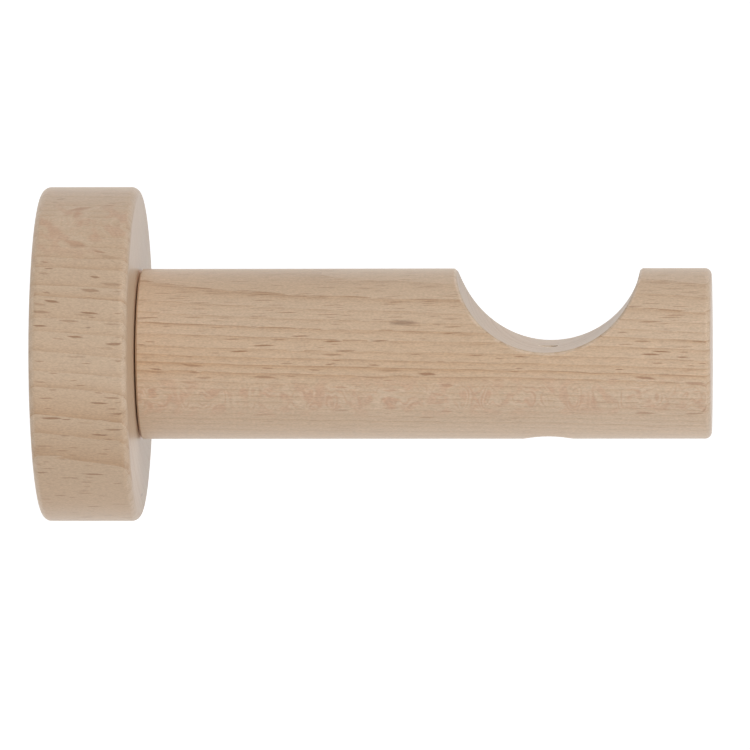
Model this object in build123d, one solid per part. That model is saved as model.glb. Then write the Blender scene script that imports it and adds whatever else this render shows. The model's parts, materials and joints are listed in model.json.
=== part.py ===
"""A turned beech curtain pole bracket: a wall disc, an arm with a half-round pole seat, and a threaded insert.

Millimetres. The origin is the centre of the disc's wall face, X runs along the arm away from the wall,
Y runs along the pole and Z is up.
"""

from build123d import *
import os
from math import sqrt

# Wall disc
DISC_DIAMETER = 55.0
DISC_THICKNESS = 16.0
DISC_EDGE_RADIUS = 1.4
DISC_WEB = 3.5  # wood left behind the socket

# Arm
PROJECTION = 110.0  # from the wall to the arm's free end
ARM_DIAMETER = 28.0
ARM_END_RADIUS = 1.1
SHOULDER_GAP = 0.3  # open seam between the arm's shoulder and the disc
SHOULDER_CHAMFER = 0.25

# Glued joint between arm and disc
SPIGOT_WALL = 4.0  # wood round the insert
SPIGOT_CLEARANCE = 0.1  # glue film, on the radius
SPIGOT_CHAMFER = 0.8

# Pole seat
POLE_DIAMETER = 28.0
POLE_CLEARANCE = 1.3  # on the radius
SEAT_FLOOR_HEIGHT = 1.2  # floor of the seat above the arm's axis
SEAT_CHAMFER = 0.35
END_LIP = 11.65  # from the seat's outer corner to the arm's free end

# Hole for the screw that holds the pole
LOCK_HOLE_DIAMETER = 3.2
COUNTERBORE_DIAMETER = 8.5
COUNTERBORE_DEPTH = 5.0  # up from the arm's lowest line
COUNTERBORE_CHAMFER = 0.2

# Threaded insert for an M6 hanger bolt
INSERT_DIAMETER = 10.0
INSERT_LENGTH = 12.0
INSERT_CHAMFER = 0.6
INSERT_SINK = 0.5  # below the spigot's end
INSERT_CLEARANCE = 0.05  # on the radius
THREAD_DRILL_DIAMETER = 5.0
DRIVE_ACROSS_FLATS = 6.1
DRIVE_DEPTH = 4.0
BOLT_RELIEF_DIAMETER = 6.6
BOLT_RELIEF_DEPTH = 10.0  # past the insert, for the bolt's end
PASSAGE_CLEARANCE = 1.0  # on the radius, for driving the insert through the disc's web

# Places that follow from the sizes above
ARM_RADIUS = ARM_DIAMETER / 2
SPIGOT_RADIUS = INSERT_DIAMETER / 2 + SPIGOT_WALL
SPIGOT_END_X = DISC_WEB
SHOULDER_X = DISC_THICKNESS + SHOULDER_GAP
SEAT_RADIUS = POLE_DIAMETER / 2 + POLE_CLEARANCE
SEAT_Z = SEAT_FLOOR_HEIGHT + SEAT_RADIUS
SEAT_HALF_WIDTH = sqrt(SEAT_RADIUS**2 - (SEAT_Z - ARM_RADIUS) ** 2)  # at the arm's top line
SEAT_X = PROJECTION - END_LIP - SEAT_HALF_WIDTH
INSERT_X = SPIGOT_END_X + INSERT_SINK

ALONG_ARM = Plane.YZ  # its normal is +X


def turned(corners):
    """Revolve an outline round the arm's axis.

    A corner is (distance from the wall, radius), with fillet or chamfer and its size added where it is softened.
    """
    profile = make_face(Plane.XZ * Polyline(*[(x, radius) for x, radius, *_ in corners], close=True))
    for x, radius, *softening in corners:
        if softening:
            soften, size = softening
            corner = profile.vertices().sort_by_distance((x, 0, radius))[0]
            profile = soften(corner, size)
    return revolve(profile, Axis.X)


def rod(radius, start_x, end_x):
    """A plain round bar on the arm's axis."""
    bar = Cylinder(radius, end_x - start_x, align=(Align.CENTER, Align.CENTER, Align.MIN))
    return ALONG_ARM.offset(start_x) * bar


def wall_disc():
    """The disc, with a blind socket for the arm's spigot and a passage through the web behind it."""
    radius = DISC_DIAMETER / 2
    disc = turned(
        [
            (0, 0),
            (0, radius, fillet, DISC_EDGE_RADIUS),
            (DISC_THICKNESS, radius, fillet, DISC_EDGE_RADIUS),
            (DISC_THICKNESS, 0),
        ]
    )
    disc -= rod(SPIGOT_RADIUS + SPIGOT_CLEARANCE, DISC_WEB, DISC_THICKNESS)
    disc -= rod(INSERT_DIAMETER / 2 + PASSAGE_CLEARANCE, 0, DISC_WEB)
    return disc


def arm_blank():
    """The turned arm before any cut: spigot, shoulder and round bar with a softened free end."""
    return turned(
        [
            (SPIGOT_END_X, 0),
            (SPIGOT_END_X, SPIGOT_RADIUS, chamfer, SPIGOT_CHAMFER),
            (SHOULDER_X, SPIGOT_RADIUS),
            (SHOULDER_X, ARM_RADIUS, chamfer, SHOULDER_CHAMFER),
            (PROJECTION, ARM_RADIUS, fillet, ARM_END_RADIUS),
            (PROJECTION, 0),
        ]
    )


def drilled_up(diameter, start_z, end_z):
    """A plain round hole on the pole screw's axis, below the middle of the seat."""
    bar = Cylinder(diameter / 2, end_z - start_z, align=(Align.CENTER, Align.CENTER, Align.MIN))
    return Pos(SEAT_X, 0, start_z) * bar


def cut_seat(blank):
    """Mill the half-round pole seat across the top of the arm, with a softened rim."""
    pole_space = Pos(SEAT_X, 0, SEAT_Z) * Rot(90, 0, 0) * Cylinder(SEAT_RADIUS, ARM_DIAMETER * 2)
    seated = blank - pole_space
    rim = new_edges(blank, pole_space, combined=seated)
    return chamfer(rim, SEAT_CHAMFER)


def drill_lock_hole(body):
    """Drill the pole screw's hole up into the seat, with a counterbore that hides the screw's head."""
    counterbore = drilled_up(COUNTERBORE_DIAMETER, -ARM_DIAMETER, COUNTERBORE_DEPTH - ARM_RADIUS)
    bored = body - counterbore
    mouth = new_edges(body, counterbore, combined=bored).sort_by(Axis.Z)[0]
    softened = chamfer(mouth, COUNTERBORE_CHAMFER)
    return softened - drilled_up(LOCK_HOLE_DIAMETER, -ARM_RADIUS, SEAT_Z)


def arm():
    """The arm with its pole seat, the screw hole below the seat and the stepped bore for the insert."""
    body = drill_lock_hole(cut_seat(arm_blank()))
    insert_end_x = INSERT_X + INSERT_LENGTH
    body -= rod(INSERT_DIAMETER / 2 + INSERT_CLEARANCE, SPIGOT_END_X, insert_end_x)
    body -= rod(BOLT_RELIEF_DIAMETER / 2, insert_end_x, insert_end_x + BOLT_RELIEF_DEPTH)
    return body


def threaded_insert():
    """The screw-in insert: a round body with a hexagon drive at its mouth and the bolt's bore behind it."""
    insert_end_x = INSERT_X + INSERT_LENGTH
    body = rod(INSERT_DIAMETER / 2, INSERT_X, insert_end_x)
    body = chamfer(body.edges().filter_by(GeomType.CIRCLE), INSERT_CHAMFER)
    drive = extrude(
        ALONG_ARM.offset(INSERT_X) * RegularPolygon(DRIVE_ACROSS_FLATS / 2, 6, major_radius=False),
        DRIVE_DEPTH,
    )
    body -= drive
    body -= rod(THREAD_DRILL_DIAMETER / 2, INSERT_X + DRIVE_DEPTH, insert_end_x)
    return body


PIECES = {
    "wall_disc": wall_disc,
    "arm": arm,
    "threaded_insert": threaded_insert,
}

os.makedirs("parts", exist_ok=True)
for node, make in PIECES.items():
    export_step(make(), f"parts/{node}.step")
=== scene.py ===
"""A turned beech curtain pole bracket, dressed for a plain white studio.

The bracket's own frame is kept: the origin is the centre of the disc's wall face, X runs along the arm away
from the wall, Y along the pole and Z up. Values below are millimetres and degrees unless they say otherwise.
"""

import json
from math import cos, pi, radians, sin
from typing import NamedTuple

import bpy
import numpy as np
from mathutils import Matrix, Vector


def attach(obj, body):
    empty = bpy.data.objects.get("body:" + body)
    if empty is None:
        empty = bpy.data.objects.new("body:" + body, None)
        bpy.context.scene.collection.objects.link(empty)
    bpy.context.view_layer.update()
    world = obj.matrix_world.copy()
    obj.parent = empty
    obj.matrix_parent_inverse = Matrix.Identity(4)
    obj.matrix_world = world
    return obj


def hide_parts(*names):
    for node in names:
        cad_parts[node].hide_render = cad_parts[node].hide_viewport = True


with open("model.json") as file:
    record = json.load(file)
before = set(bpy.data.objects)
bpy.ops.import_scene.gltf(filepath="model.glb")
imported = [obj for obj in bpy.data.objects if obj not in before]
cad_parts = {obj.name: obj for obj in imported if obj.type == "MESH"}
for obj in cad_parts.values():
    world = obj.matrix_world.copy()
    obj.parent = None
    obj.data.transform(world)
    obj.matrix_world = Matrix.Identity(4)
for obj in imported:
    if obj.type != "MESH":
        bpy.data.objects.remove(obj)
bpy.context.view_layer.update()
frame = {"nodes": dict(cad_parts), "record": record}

MM = 0.001  # metres in a millimetre

# Camera: a long lens, a little from the free end and a little from above
VIEW_AZIMUTH = 3.1841
VIEW_ELEVATION = 4.6317
VIEW_ROLL = -0.31
VIEW_DISTANCE = 1350.0
VIEW_TARGET = (54.6553, 0.0, -3.5135)
SENSOR_WIDTH = 36.0
FOCAL_LENGTH = 394.027
CLIP_START = 50.0
CLIP_END = 100000.0

# Studio
WHITE = (1.0, 1.0, 1.0)
FLOOR_HEIGHT = -120.0
FLOOR_HALF_SIZE = 12000.0
FLOOR_COLOUR = (0.78, 0.78, 0.78)
FLOOR_GLOW = 0.45  # added for the eye and for reflections, so that the floor is white there
AMBIENT = 0.12  # share of full light that comes from all round
SOFT_LIGHTS = {  # name: (azimuth from the front towards +X, elevation, share of full light, angular size)
    "upper_soft_light": (36.0, 49.0, 0.75, 50.0),
    "lower_soft_light": (24.0, -34.0, 0.42, 50.0),
    "wall_side_soft_light": (270.0, 4.0, 0.42, 50.0),
    "rear_soft_light": (190.0, 4.0, 0.42, 50.0),
}

# Threaded insert, inside the arm's spigot
INSERT_START = 4.0
INSERT_END = 16.0
INSERT_RADIUS = 5.0
INSERT_CHAMFER = 0.6
INSERT_TAIL_RADIUS = 4.0
COLLAR_END = 5.4
COLLAR_STEP = 0.1
WOOD_THREAD_ROOT = 4.3
WOOD_THREAD_PITCH = 2.5
WOOD_THREAD_STEEPNESS = 2.2
WOOD_THREAD_STEPS = 60  # along the body
CORE_RADIUS = 2.5
BORE_MOUTH_RADIUS = 3.2
BOLT_THREAD_DEPTH = 0.5
BOLT_THREAD_PITCH = 1.0
BOLT_THREAD_STEPS = 97  # along the bore
DRIVE_FLOOR = 8.0
DRIVE_HALF_FLATS = 3.05
DRIVE_LEAD_IN = 0.25
DRIVE_SIDES = 6
TURN_STEPS = 96  # round a turn
SHARP_ANGLE = 28.0

# Zinc
DARK_ZINC = (0.52, 0.53, 0.52)
PALE_ZINC = (0.66, 0.66, 0.64)
CAST_DEPTH = 0.01  # of the relief

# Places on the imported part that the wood's finish follows
mounts = {mount["name"]: mount for mount in frame["record"]["mounts"]}
SEAT_X, _, SEAT_Z = (value / MM for value in mounts["pole_cradle"]["pos_m"])
SEAT_RADIUS = mounts["pole_cradle"]["dims"]["r_mm"]
LOCK_HOLE_RADIUS = mounts["pole_screw_hole"]["dims"]["r_mm"]
LOCK_HOLE_MOUTH = 0.9  # where the hole's upper end starts, just below the seat's floor
COUNTERBORE_RADIUS = 4.25
COUNTERBORE_TOP = -8.5  # a little above its floor
BELOW_ARM = -20.0
ABOVE_ARM = 20.0
ARM_RADIUS = 14.0
SEAM_X = 16.15  # the middle of the open seam between disc and arm
SEAM_REACH = 0.3  # to each side of its middle, and in from the arm's surface
CUT_MARGIN = 0.1  # a cut's finish starts this far outside it
CUT_BORDER = 0.05  # and fades over this

# Beech: the wood, its rings, its rays, and where it is cut, worn or marked
PALE_BEECH = (0.533, 0.396, 0.280)
WARM_BEECH = (0.503, 0.353, 0.232)
ORANGE_WOOD = (0.465, 0.290, 0.166)
LATE_WOOD = (0.310, 0.175, 0.090)
RAY_END = (0.220, 0.098, 0.038)
RAY_FACE = (0.505, 0.318, 0.212)
RAY_RIM = (0.590, 0.450, 0.325)
RAW_BEECH = (0.700, 0.545, 0.395)
# raw wood painted much paler, as painted light on the shaded far wall at the lock hole's upper end
HOLE_MOUTH_PAINTED_LIGHT_BEECH = (0.940, 0.800, 0.650)
# raw wood in the open seam, painted much paler than it is: painted light in the shaded gap
SEAM_PAINTED_LIGHT_BEECH = (0.800, 0.550, 0.370)
# pale wear, which also serves as a painted highlight on the rounded edges and the seat's rim
WORN_AND_HIGHLIGHT_BEECH = (0.660, 0.520, 0.395)
# a broad paler patch painted over the arm's free end: painted light
FREE_END_PAINTED_LIGHT = (0.640, 0.505, 0.385)
DARK_MARK = (0.180, 0.108, 0.070)
RED_MARK = (0.420, 0.220, 0.130)
ORANGE_RISE = 1.6  # a power of the way through a ring: the higher, the later its colour comes
LATE_RISE = 7.0
RAY_STAGGER = 0.29  # of a ray's length, from one row of rays to the next
RAY_TAPER = 1.35  # 1 makes rays lozenges, 2 makes them ellipses
RAY_LAYER = 0.17  # between the arcs where the surface grazes the rays
SMALL_RAY_LENGTH = 2.6
SMALL_RAY_GAP = 0.15
LACQUER_ROUGHNESS = 0.36
GRAIN_DEPTH = 0.02  # of the relief


class Spot(NamedTuple):
    """A single spot, a soft ellipsoid of another colour: a mark on the wood, or a broad patch of painted
    light.
    """

    centre: tuple
    half_sizes: tuple
    colour: tuple
    strength: float


class Edge(NamedTuple):
    """A worn edge with a painted highlight: the middle of its rounding, from the wall and from the arm's
    axis, and how strong its wear and painted highlight are.
    """

    x: float
    radius: float
    wear_and_highlight: float


class Hole(NamedTuple):
    """A stretch of a round hole below the middle of the seat, drilled upwards after lacquering."""

    radius: float
    bottom: float
    top: float
    colour: tuple


class Log(NamedTuple):
    """How a piece was cut from its log, and how strongly each feature of the wood shows on it."""

    pith: tuple  # a point on the log's middle line
    lean: tuple  # turns of the grain about X, Y and Z
    shift: float  # of the whole pattern, along the grain
    ring_width: float
    first_ring: float  # where the random strengths of the rings start
    warm_radius: float  # the middle of the warm-coloured rings, from the pith
    quiet_radius: float  # rings and rays inside it are fainter
    bands: float  # strength of the rings' soft orange bands
    lines: float  # strength of the dark lines that end them
    ray_length: float
    ray_gap: float  # between rows of rays, round the pith
    rays: float  # strength of the rays
    hush: float  # how much fainter they are where the surface faces the pith
    arcs: float  # strength of the arcs where the surface grazes the rays
    fibres: float  # strength of the fine streaks and of the smallest rays
    tone: float  # times the whole colour
    spots: tuple
    edges: tuple
    holes: tuple = ()
    has_seat: bool = False


ARM_LOG = Log(
    pith=(0.0, 15.0, -58.1),
    lean=(0.0, 1.7, 0.0),
    shift=0.0,
    ring_width=1.25,
    first_ring=6.0,
    warm_radius=64.8,
    quiet_radius=56.0,
    bands=1.15,
    lines=1.15,
    ray_length=8.0,
    ray_gap=0.3,
    rays=0.74,
    hush=0.35,
    arcs=1.0,
    fibres=1.0,
    tone=1.0,
    spots=(
        # painted light: a broad paler patch over the arm's free end
        Spot(centre=(114.0, -14.0, -4.0), half_sizes=(46.0, 40.0, 26.0), colour=FREE_END_PAINTED_LIGHT, strength=0.2),
        Spot(centre=(59.95, -12.63, 6.04), half_sizes=(3.0, 1.5, 0.55), colour=DARK_MARK, strength=0.66),
    ),
    edges=(Edge(x=109.68, radius=13.68, wear_and_highlight=0.25),),
    holes=(
        Hole(radius=LOCK_HOLE_RADIUS, bottom=BELOW_ARM, top=ABOVE_ARM, colour=RAW_BEECH),
        # painted light: the shaded upper end of the lock hole painted much paler than raw wood
        Hole(radius=LOCK_HOLE_RADIUS, bottom=LOCK_HOLE_MOUTH, top=ABOVE_ARM, colour=HOLE_MOUTH_PAINTED_LIGHT_BEECH),
        Hole(radius=COUNTERBORE_RADIUS, bottom=BELOW_ARM, top=COUNTERBORE_TOP, colour=RAW_BEECH),
    ),
    has_seat=True,
)
DISC_LOG = Log(
    pith=(0.0, 27.0, 53.6),
    lean=(0.0, 4.5, 0.0),
    shift=340.0,
    ring_width=2.3,
    first_ring=8.0,
    warm_radius=84.0,
    quiet_radius=40.0,
    bands=1.25,
    lines=0.55,
    ray_length=7.5,
    ray_gap=0.5,
    rays=0.68,
    hush=0.0,
    arcs=0.4,
    fibres=0.7,
    tone=0.92,
    spots=(
        Spot(centre=(7.25, -14.41, 23.42), half_sizes=(1.25, 5.0, 2.9), colour=RED_MARK, strength=0.8),
        Spot(centre=(9.84, -26.75, 6.39), half_sizes=(0.6, 0.5, 0.18), colour=DARK_MARK, strength=0.6),
        Spot(centre=(16.0, 0.47, -23.36), half_sizes=(0.3, 2.0, 0.3), colour=DARK_MARK, strength=0.75),
    ),
    edges=(Edge(x=15.59, radius=27.09, wear_and_highlight=0.34), Edge(x=0.41, radius=27.09, wear_and_highlight=0.34)),
)


class Field:
    """A number that varies over a surface: one output of a shader node, with plain arithmetic."""

    def __init__(self, recipe, socket):
        self.recipe = recipe
        self.socket = socket

    def __add__(self, other):
        return self.recipe.math("ADD", self, other)

    def __sub__(self, other):
        return self.recipe.math("SUBTRACT", self, other)

    def __rsub__(self, other):
        return self.recipe.math("SUBTRACT", other, self)

    def __mul__(self, other):
        return self.recipe.math("MULTIPLY", self, other)

    def __truediv__(self, other):
        return self.recipe.math("DIVIDE", self, other)

    def __pow__(self, other):
        return self.recipe.math("POWER", self, other)

    def __abs__(self):
        return self.recipe.math("ABSOLUTE", self)


class Recipe:
    """A tree of shader nodes, written as formulas."""

    def __init__(self, tree):
        self.tree = tree

    def feed(self, socket, value):
        """Link a field or a node's output to an input, or set the input to a number or colour."""
        if isinstance(value, Field):
            value = value.socket
        if isinstance(value, bpy.types.NodeSocket):
            self.tree.links.new(value, socket)
        elif isinstance(value, tuple) and len(value) == 3 and socket.type == "RGBA":
            socket.default_value = (*value, 1.0)
        else:
            socket.default_value = value

    def node(self, kind, inputs=None, **options):
        """Add a shader node with its options and inputs."""
        made = self.tree.nodes.new("ShaderNode" + kind)
        for name, value in options.items():
            setattr(made, name, value)
        for name, value in (inputs or {}).items():
            self.feed(made.inputs[name], value)
        return made

    def math(self, operation, first, second=0.0):
        """One step of arithmetic."""
        made = self.node("Math", {0: first, 1: second}, operation=operation)
        return Field(self, made.outputs[0])

    def ramp(self, value, start, end):
        """A smooth step from 0 at start to 1 at end."""
        inputs = {"Value": value, "From Min": start, "From Max": end}
        made = self.node("MapRange", inputs, interpolation_type="SMOOTHSTEP")
        return Field(self, made.outputs["Result"])

    def lift(self, value, lowest):
        """A field from 0 to 1, squeezed so that it goes from lowest to 1."""
        return value * (1.0 - lowest) + lowest

    def vector(self, x, y, z):
        """Three fields or numbers as one vector."""
        return self.node("CombineXYZ", {"X": x, "Y": y, "Z": z}).outputs["Vector"]

    def split(self, vector):
        """A vector as three fields."""
        made = self.node("SeparateXYZ", {"Vector": vector})
        return [Field(self, made.outputs[axis]) for axis in "XYZ"]

    def from_centre(self, centre, unit_lengths, lean=(0.0, 0.0, 0.0)):
        """The place on the piece, seen from a centre, in units of three lengths along axes that may lean."""
        inputs = {
            "Vector": self.node("TexCoord").outputs["Object"],
            "Location": tuple(value * MM for value in centre),
            "Rotation": tuple(radians(value) for value in lean),
            "Scale": tuple(value * MM for value in unit_lengths),
        }
        return self.node("Mapping", inputs, vector_type="TEXTURE").outputs["Vector"]

    def position(self, centre=(0.0, 0.0, 0.0), lean=(0.0, 0.0, 0.0)):
        """Millimetres from a centre, along axes that may lean against the bracket's own, as three fields."""
        return self.split(self.from_centre(centre, (1.0, 1.0, 1.0), lean))

    def blot(self, centre, half_sizes):
        """A soft ellipsoid: 1 in its middle and 0 from its half sizes on."""
        offset = self.from_centre(centre, half_sizes)
        distance = self.node("VectorMath", {0: offset}, operation="LENGTH").outputs["Value"]
        return self.ramp(distance, 1.0, 0.3)

    def noise(self, x, y=0.0, z=0.0, detail=0.0):
        """Cloudy noise about 0.5, with blots about one unit across."""
        inputs = {"Vector": self.vector(x, y, z), "Scale": 1.0, "Detail": detail}
        return Field(self, self.node("TexNoise", inputs).outputs["Fac"])

    def wave(self, x, y=0.0, z=0.0, detail=0.0, size=1.0):
        """The same noise about 0, times a size."""
        return (self.noise(x, y, z, detail) - 0.5) * size

    def random(self, number):
        """One random value from 0 to 1 for each value of a number."""
        made = self.node("TexWhiteNoise", {"W": number}, noise_dimensions="1D")
        return Field(self, made.outputs["Value"])

    def spindles(self, x, y, taper):
        """Scattered points, one to a unit square: the distance to the nearest, and its two random values."""
        inputs = {"Vector": self.vector(x, y, 0.0), "Scale": 1.0, "Exponent": taper}
        options = {"voronoi_dimensions": "2D", "distance": "MINKOWSKI", "feature": "F1"}
        made = self.node("TexVoronoi", inputs, **options)
        first, second, _ = self.split(made.outputs["Color"])
        return Field(self, made.outputs["Distance"]), first, second

    def blend(self, share, first, second):
        """A colour that goes from the first to the second with a share from 0 to 1."""
        made = self.node("Mix", {0: share, 6: first, 7: second}, data_type="RGBA")
        return made.outputs[2]

    def seen_directly(self):
        """1 for rays from the camera, from reflections and through glass, and 0 for rays that carry light."""
        kinds = self.node("LightPath").outputs
        total = Field(self, kinds["Is Camera Ray"])
        for name in ("Is Glossy Ray", "Is Transmission Ray"):
            total = total + kinds[name]
        return self.math("MINIMUM", total, 1.0)


class Finish(Recipe):
    """A material's tree, with the shader that the formulas feed."""

    def __init__(self, name):
        self.material = bpy.data.materials.new(name)
        self.material.use_nodes = True
        super().__init__(self.material.node_tree)
        self.shader = self.tree.nodes["Principled BSDF"]

    def coat(self, colour, roughness, height, depth):
        """Give the shader its colour, its roughness, and a relief: a height field times a depth."""
        bump = self.node("Bump", {"Strength": 1.0, "Distance": depth * MM, "Height": height})
        self.feed(self.shader.inputs["Base Color"], colour)
        self.feed(self.shader.inputs["Roughness"], roughness)
        self.feed(self.shader.inputs["Normal"], bump.outputs["Normal"])


class Beech(Finish):
    """Satin-lacquered beech, solid all through, so that side grain, rays and end grain meet at the edges.

    The first methods find where a point lies and how the surface lies there. Each of the others works out one
    feature, from 0 to 1, and lays it over the colour, shade, roughness and height so far. In the noise of the
    grain, a place is multiplied by its number of blots in a millimetre.
    """

    def __init__(self, name, log):
        super().__init__(name)
        self.log = log
        self.find_place()
        self.find_facing()
        self.find_rays()
        self.draw_fibres()
        self.lay_ground()
        self.draw_rings()
        self.draw_ray_patches()
        self.draw_ray_arcs()
        self.draw_rays()
        self.bare_holes_with_painted_light()
        self.bare_seam_with_painted_light()
        self.wear_and_highlight_edges()
        if log.has_seat:
            self.mill_seat()
        self.lacquer()

    def paint(self, where, colour, strength=1.0):
        """Lay a colour over the colour so far, where a field is 1."""
        self.colour = self.blend(where * strength, self.colour, colour)

    def find_place(self):
        """The place on the bracket, and in the log: along the grain, round the pith (arc), outwards (r)."""
        log = self.log
        self.x, self.y, self.z = self.position()
        self.from_axis = (self.y**2 + self.z**2) ** 0.5
        along, self.side, self.up = self.position(log.pith, log.lean)
        self.along = along + log.shift
        self.arc = self.math("ARCTAN2", self.up, self.side) * Vector(log.pith).length
        self.r = (self.side * self.side + self.up * self.up) ** 0.5
        self.outer = self.ramp(self.r, log.quiet_radius - 3.0, log.quiet_radius + 5.0)
        self.warmth = 1.0 - self.ramp(abs(self.r - log.warm_radius), 1.0, 6.0)

    def find_facing(self):
        """How the surface lies in the log.

        End grain is 1 where it lies across the grain. Facing is 1 where it looks at the pith or away from it,
        and 0 where it runs along the rays.
        """
        normal_x, normal_y, normal_z = self.split(self.node("NewGeometry").outputs["Normal"])
        self.end_grain = self.ramp(abs(normal_x), 0.1, 0.9)
        self.facing = abs((normal_y * self.side + normal_z * self.up) / self.r)
        self.along_rays = self.grazing(0.06, 0.36)

    def grazing(self, start, end):
        """1 on side grain that runs along the rays, down to 0 as it turns to face the pith."""
        return (1.0 - self.ramp(self.facing, start, end)) * (1.0 - self.end_grain)

    def find_rays(self):
        """Rays: thin sheets that run out from the pith, spindles in (along the grain, arc).

        They swerve a little. The distance from a ray is 1 at its edge, and a ray's width is left to chance.
        """
        swerve = self.wave(self.along * 0.1, self.arc * 0.4, self.r * 0.6, size=0.45)
        self.ray_arc = self.arc + swerve
        distance, chance, self.ray_tint = self.scatter(self.log.ray_length, self.log.ray_gap)
        self.from_ray = distance / (chance**2 * 0.2 + 0.1)

    def scatter(self, length, gap):
        """Spindles of a length along the grain, in staggered rows round the pith."""
        row = self.ray_arc / gap
        return self.spindles(self.along / length + row * RAY_STAGGER, row, RAY_TAPER)

    def draw_fibres(self):
        """Fibres: noise drawn out along the grain, as long streaks and short specks.

        End grain is a little darker, and turning has left fine rings on it.
        """
        fibre = self.wave(self.along * 0.45, self.side * 5.5, self.up * 5.5, detail=3.0, size=self.log.fibres)
        speck = self.wave(self.along * 2.2, self.side * 5.5, self.up * 5.5, detail=1.0)
        turning_mark = self.wave(self.from_axis * 2.5, detail=2.0)
        self.shade = (fibre * 0.34 + speck * 0.45 + 1.0 - self.end_grain * 0.06) * self.log.tone
        self.roughness = fibre * 0.2 + LACQUER_ROUGHNESS
        self.height = fibre * 0.35 + turning_mark * self.end_grain * 0.3

    def lay_ground(self):
        """Pale wood with warm clouds, warmer in the warm rings, and the single spots over it: marks, and on
        the arm a broad patch of painted light.
        """
        cloud = self.noise(self.along * 0.02, self.side * 0.14, self.up * 0.14, detail=1.0)
        share = self.ramp(cloud, 0.3, 0.7) * 0.45 + self.warmth * 0.45
        self.colour = self.blend(share, PALE_BEECH, WARM_BEECH)
        for spot in self.log.spots:
            self.paint(self.blot(spot.centre, spot.half_sizes), spot.colour, spot.strength)

    def draw_rings(self):
        """Rings: r with a slow and a quick wave, over the ring width, and unevenly spaced.

        Each ring has a strength by chance, turns orange and then dark towards its outer edge, and stops short
        there. Its edge dips round each ray, and short strokes along the grain break it up.
        """
        log = self.log
        slow_wave = self.wave(self.along * 0.018, self.arc * 0.05, size=0.8)
        quick_wave = self.wave(self.along * 0.11, self.arc * 0.35, self.r * 0.3, size=0.28)
        dip = self.ramp(self.from_ray, 2.2, 0.4) * 0.2
        uneven = self.noise(self.r * 0.22) * 1.6
        ring = (self.r + slow_wave + quick_wave + dip) / log.ring_width + uneven
        way_through = self.math("FRACT", ring)
        chance = self.random(self.math("FLOOR", ring) + log.first_ring)
        strength = self.lift(chance, lowest=0.35) * self.lift(self.outer, lowest=0.35)
        strokes = self.ramp(self.noise(self.along * 0.2, self.r * 5.0, self.arc * 2.5), 0.32, 0.66)
        orange = way_through**ORANGE_RISE * strength * self.lift(self.warmth, lowest=0.5)
        late = way_through**LATE_RISE * strength * self.lift(strokes, lowest=0.2)
        self.paint(orange * log.bands, ORANGE_WOOD, strength=0.75)
        self.paint(late * log.lines, LATE_WOOD, strength=0.95)

    def draw_ray_patches(self):
        """Where the surface runs along the rays: a pale cast, pale rims round the rays, and pink patches."""
        rims = self.ramp(self.from_ray, 2.4, 1.6) * self.ramp(self.from_ray, 0.95, 1.4) * self.along_rays
        self.paint(rims * 0.45 + self.along_rays * 0.2, RAY_RIM)
        patches = self.ramp(self.noise(self.along * 0.5, self.r * 0.45, self.arc * 1.2), 0.5, 0.66)
        self.paint(patches * self.along_rays, RAY_FACE, strength=0.6)

    def draw_ray_arcs(self):
        """Where the surface grazes the rays: pale and pink arcs in turn, the layers of a waved arc."""
        waved_arc = self.arc + self.wave(self.along * 0.42, self.r * 0.14, detail=1.0, size=1.1)
        from_layer = abs(self.math("FRACT", waved_arc / RAY_LAYER) - 0.5)
        broken = self.ramp(self.noise(self.along * 0.3, self.r * 0.5, self.arc), 0.3, 0.62)
        shown = self.grazing(0.04, 0.26) * broken * self.log.arcs
        self.paint(self.ramp(from_layer, 0.3, 0.12) * shown, RAY_RIM, strength=0.5)
        self.paint(self.ramp(from_layer, 0.3, 0.45) * shown, RAY_FACE, strength=0.65)

    def draw_rays(self):
        """Large and small rays: sunk dark dashes, and pink ones where the surface runs along them."""
        log = self.log
        colour = self.blend(self.along_rays, RAY_END, RAY_FACE)
        loud = self.lift(self.outer, lowest=0.25) * (1.0 - self.ramp(self.end_grain, 0.0, 0.4) * 0.75)
        distance, chance, tint = self.scatter(SMALL_RAY_LENGTH, SMALL_RAY_GAP)
        small_rays = self.ramp(distance / (chance * 0.25 + 0.12), 1.0, 0.4) * tint * loud * log.fibres
        self.paint(small_rays * (self.along_rays * 0.2 + 0.14), colour)
        rays = self.ramp(self.from_ray, 1.0, 0.6) * self.ramp(self.ray_tint, 0.15, 0.85) * loud
        rays = rays * (1.0 - self.ramp(self.facing, 0.55, 0.95) * log.hush)
        self.paint(rays, colour, log.rays)
        self.height = self.height - rays * 0.5 - small_rays * 0.2

    def bare_holes_with_painted_light(self):
        """Raw wood in the drilled holes, up to their walls and between their ends; at the lock hole's upper
        end the raw wood is painted much paler, as painted light on its shaded far wall.
        """
        from_drill = ((self.x - SEAT_X) ** 2 + self.y**2) ** 0.5
        for hole in self.log.holes:
            wall = hole.radius + CUT_MARGIN
            inside = self.ramp(from_drill, wall, wall - CUT_BORDER)
            above_bottom = self.ramp(self.z, hole.bottom - CUT_MARGIN, hole.bottom)
            below_top = self.ramp(self.z, hole.top, hole.top - CUT_MARGIN)
            self.paint(inside * above_bottom * below_top, hole.colour)

    def bare_seam_with_painted_light(self):
        """Raw wood in the open seam, painted much paler than it is as painted light in the shaded gap; so
        little light comes in that it still shows as a dark line.
        """
        beside = self.ramp(abs(self.x - SEAM_X), SEAM_REACH * 1.5, SEAM_REACH)
        below_surface = self.ramp(self.from_axis, ARM_RADIUS, ARM_RADIUS - SEAM_REACH)
        # painted light: a pale colour in the shaded seam
        self.paint(beside * below_surface, SEAM_PAINTED_LIGHT_BEECH)

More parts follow.
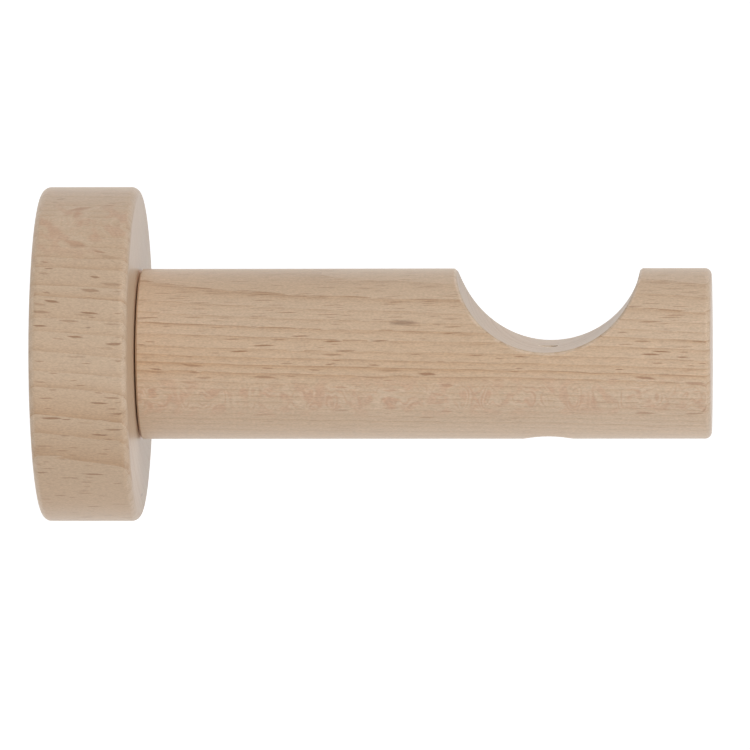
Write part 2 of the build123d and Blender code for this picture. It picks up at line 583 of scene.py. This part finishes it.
    def break_into_patches(self, where):
        """A field, broken into patches, as wear and the painted highlights on edges are."""
        patchy = self.noise(self.x * 0.7, self.y * 0.7, self.z * 0.7, detail=2.0)
        return where * self.ramp(patchy, 0.38, 0.62)

    def wear_and_highlight_edges(self):
        """Pale wear and a painted highlight along the rounded edges, rubbed a little below the surface."""
        for edge in self.log.edges:
            from_edge = ((self.x - edge.x) ** 2 + (self.from_axis - edge.radius) ** 2) ** 0.5
            rubbed_and_lit = self.break_into_patches(self.ramp(from_edge, 0.75, 0.3)) * edge.wear_and_highlight
            # pale wear and a painted highlight on the rounded edge
            self.paint(rubbed_and_lit, WORN_AND_HIGHLIGHT_BEECH)
            self.height = self.height - rubbed_and_lit * 1.5

    def mill_seat(self):
        """The milled pole seat: deeper and duller in tone, partly the cut wood's own tone and partly painted
        shade in the hollow, with cutter marks along it and a rim of wear and painted highlight.
        """
        outwards = self.x - SEAT_X
        upwards = self.z - SEAT_Z
        from_pole = (outwards**2 + upwards**2) ** 0.5
        turn = self.math("ARCTAN2", upwards, outwards)
        wall = SEAT_RADIUS + CUT_MARGIN
        on_surface = self.ramp(self.from_axis, ARM_RADIUS - 0.6, ARM_RADIUS - 0.25)
        rim = self.ramp(from_pole, wall + 0.5, wall + 0.2) * on_surface
        # the seat's rim: patchy wear and a painted highlight where its chamfer lies in shade
        self.paint(self.break_into_patches(rim), WORN_AND_HIGHLIGHT_BEECH, strength=0.55)
        milled = self.ramp(from_pole, wall + CUT_BORDER, wall)
        cutter_mark = self.wave(turn * 22.0, self.y * 0.12, detail=1.0)
        # darker in the seat: the cut wood's duller tone and painted shade in the hollow
        self.shade = self.shade * (1.0 - milled * 0.13)
        self.roughness = self.roughness + milled * 0.02
        self.height = self.height + milled * cutter_mark * 0.8

    def lacquer(self):
        """Multiply the colour by the shade, and finish the surface."""
        shades = self.vector(self.shade, self.shade, self.shade)
        shaded = self.node("VectorMath", {0: self.colour, 1: shades}, operation="MULTIPLY")
        self.coat(shaded.outputs["Vector"], self.roughness, self.height, GRAIN_DEPTH)


def zinc(name):
    """Dull passivated zinc alloy: a cool grey metal with a faint cast mottle."""
    metal = Finish(name)
    x, y, z = metal.position()
    mottle = metal.noise(x * 0.9, y * 0.9, z * 0.9, detail=3.0)
    grit = metal.noise(x * 9.0, y * 9.0, z * 9.0, detail=2.0)
    metal.coat(metal.blend(mottle, DARK_ZINC, PALE_ZINC), grit * 0.2 + 0.3, grit, CAST_DEPTH)
    metal.shader.inputs["Metallic"].default_value = 1.0
    return metal.material


def dress(node, material):
    """Give a CAD node its one finish."""
    slots = frame["nodes"][node].data.materials
    slots.clear()
    slots.append(material)


def add_object(name, data):
    """Put a new object into the scene, at the origin."""
    made = bpy.data.objects.new(name, data)
    bpy.context.scene.collection.objects.link(made)
    return made


def triangle_wave(phase):
    """A wave that climbs from 0 to 1 and back once in each unit of phase."""
    return 1.0 - np.abs(2.0 * (phase - np.floor(phase)) - 1.0)


def insert_surface():
    """The insert as a grid over a path and a turn: from its face out to the collar, along, and back inside.

    Each step of the path is (x, radius). Wood thread: the root radius plus the steepened tip of a triangle
    wave of x over the pitch less the turn. Bolt thread: the core radius plus a triangle wave in the same way.
    Hexagon drive: half the width across the flats over the cosine of the turn from the nearest flat's middle.
    The path's end meets its start, so the surface is closed both ways.
    """
    turn = np.linspace(0.0, 1.0, TURN_STEPS, endpoint=False)
    from_corner = turn * DRIVE_SIDES - np.floor(turn * DRIVE_SIDES)
    hexagon = DRIVE_HALF_FLATS / np.cos((from_corner - 0.5) * 2.0 * pi / DRIVE_SIDES)
    outer_x = np.linspace(COLLAR_END + COLLAR_STEP, INSERT_END - INSERT_CHAMFER, WOOD_THREAD_STEPS)[:, None]
    below_peak = 1.0 - triangle_wave(outer_x / WOOD_THREAD_PITCH - turn)
    tip = np.clip(1.0 - below_peak * WOOD_THREAD_STEEPNESS, 0.0, 1.0)
    outer_radius = WOOD_THREAD_ROOT + (INSERT_RADIUS - WOOD_THREAD_ROOT) * tip
    inner_x = np.linspace(INSERT_END, DRIVE_FLOOR, BOLT_THREAD_STEPS)[:, None]
    inner_radius = CORE_RADIUS + BOLT_THREAD_DEPTH * triangle_wave(inner_x / BOLT_THREAD_PITCH - turn)
    path = [
        (INSERT_START, INSERT_RADIUS - INSERT_CHAMFER),
        (INSERT_START + INSERT_CHAMFER, INSERT_RADIUS),
        (COLLAR_END, INSERT_RADIUS),
        (outer_x, outer_radius),
        (INSERT_END, INSERT_TAIL_RADIUS),
        (INSERT_END, BORE_MOUTH_RADIUS),
        (inner_x, inner_radius),
        (DRIVE_FLOOR, hexagon),
        (INSERT_START + DRIVE_LEAD_IN, hexagon),
        (INSERT_START, hexagon + DRIVE_LEAD_IN),
    ]
    x = np.concatenate([np.atleast_2d(along) + np.zeros((1, TURN_STEPS)) for along, _ in path])
    radius = np.concatenate([np.atleast_2d(out) + np.zeros((1, TURN_STEPS)) for _, out in path])
    angle = turn * 2.0 * pi
    return np.stack([x, radius * np.cos(angle), radius * np.sin(angle)], axis=-1)


def add_insert(material):
    """The insert with its threads and drive, in place of the plain node: the grid joined in quads."""
    points = insert_surface()
    index = np.arange(points.shape[0] * points.shape[1]).reshape(points.shape[:2])
    ahead = np.roll(index, -1, axis=0)
    quads = np.stack([index, np.roll(index, -1, axis=1), np.roll(ahead, -1, axis=1), ahead], axis=-1)
    mesh = bpy.data.meshes.new("insert")
    mesh.from_pydata((points.reshape(-1, 3) * MM).tolist(), [], quads.reshape(-1, 4).tolist())
    mesh.shade_smooth()
    mesh.set_sharp_from_angle(angle=radians(SHARP_ANGLE))
    mesh.materials.append(material)
    insert = add_object("insert_with_threads", mesh)
    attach(insert, "root")
    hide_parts("threaded_insert")


def direction(azimuth, elevation):
    """The way out from the bracket: azimuth from the front (-Y) towards +X, elevation upwards."""
    across = radians(azimuth)
    upwards = radians(elevation)
    return Vector((sin(across) * cos(upwards), -cos(across) * cos(upwards), sin(upwards)))


def add_camera():
    """A camera that looks along +Y, turned, tilted and rolled as the values above say."""
    back = direction(VIEW_AZIMUTH, VIEW_ELEVATION)
    level_right = direction(VIEW_AZIMUTH + 90.0, 0.0)
    level_up = back.cross(level_right)
    roll = radians(VIEW_ROLL)
    right = level_right * cos(roll) + level_up * sin(roll)
    up = level_up * cos(roll) - level_right * sin(roll)
    data = bpy.data.cameras.new("camera")
    data.sensor_width = SENSOR_WIDTH
    data.lens = FOCAL_LENGTH
    data.clip_start = CLIP_START * MM
    data.clip_end = CLIP_END * MM
    camera = add_object("camera", data)
    turned = Matrix((right, up, back)).transposed().to_4x4()
    place = (Vector(VIEW_TARGET) + back * VIEW_DISTANCE) * MM
    camera.matrix_world = Matrix.Translation(place) @ turned
    bpy.context.scene.camera = camera


def add_lights():
    """Broad soft lights: two in front, above and below, one on the wall's side and one behind.

    A share of 1 is the light that shows a colour as it is written.
    """
    for name, (azimuth, elevation, share, size) in SOFT_LIGHTS.items():
        data = bpy.data.lights.new(name, "SUN")
        data.energy = share * pi
        data.angle = radians(size)
        lamp = add_object(name, data)
        lamp.visible_glossy = False
        lamp.rotation_euler = direction(azimuth, elevation).to_track_quat("Z", "Y").to_euler()


def add_world():
    """A white surround, dimmer as a source of light than it looks."""
    world = bpy.data.worlds.new("studio")
    world.use_nodes = True
    surround = Recipe(world.node_tree)
    background = surround.tree.nodes["Background"]
    surround.feed(background.inputs["Color"], WHITE)
    surround.feed(background.inputs["Strength"], surround.lift(surround.seen_directly(), lowest=AMBIENT))
    bpy.context.scene.world = world


def floor_paper(name):
    """Pale matt paper, white to the eye and in reflections, and clear when seen from underneath."""
    paper = Finish(name)
    paper.tree.nodes.remove(paper.shader)
    matt = paper.node("BsdfDiffuse", {"Color": FLOOR_COLOUR}).outputs["BSDF"]
    glow = paper.node("Emission", {"Strength": paper.seen_directly() * FLOOR_GLOW}).outputs["Emission"]
    lit = paper.node("AddShader", {0: matt, 1: glow}).outputs["Shader"]
    clear = paper.node("BsdfTransparent").outputs["BSDF"]
    underneath = paper.node("NewGeometry").outputs["Backfacing"]
    sides = paper.node("MixShader", {"Fac": underneath, 1: lit, 2: clear}).outputs["Shader"]
    paper.feed(paper.tree.nodes["Material Output"].inputs["Surface"], sides)
    return paper.material


def add_floor(material):
    """A wide floor below the bracket: one flat square."""
    corners = np.array([(-1.0, -1.0), (1.0, -1.0), (1.0, 1.0), (-1.0, 1.0)]) * FLOOR_HALF_SIZE
    points = np.column_stack([corners, np.full(len(corners), FLOOR_HEIGHT)]) * MM
    mesh = bpy.data.meshes.new("floor")
    mesh.from_pydata(points.tolist(), [], [(0, 1, 2, 3)])
    mesh.materials.append(material)
    floor = add_object("floor", mesh)
    floor.visible_shadow = False


dress("arm", Beech("arm_beech", ARM_LOG).material)
dress("wall_disc", Beech("disc_beech", DISC_LOG).material)
add_insert(zinc("insert_zinc"))
add_floor(floor_paper("floor_paper"))
add_world()
add_lights()
add_camera()
bpy.context.scene.view_settings.view_transform = "Standard"
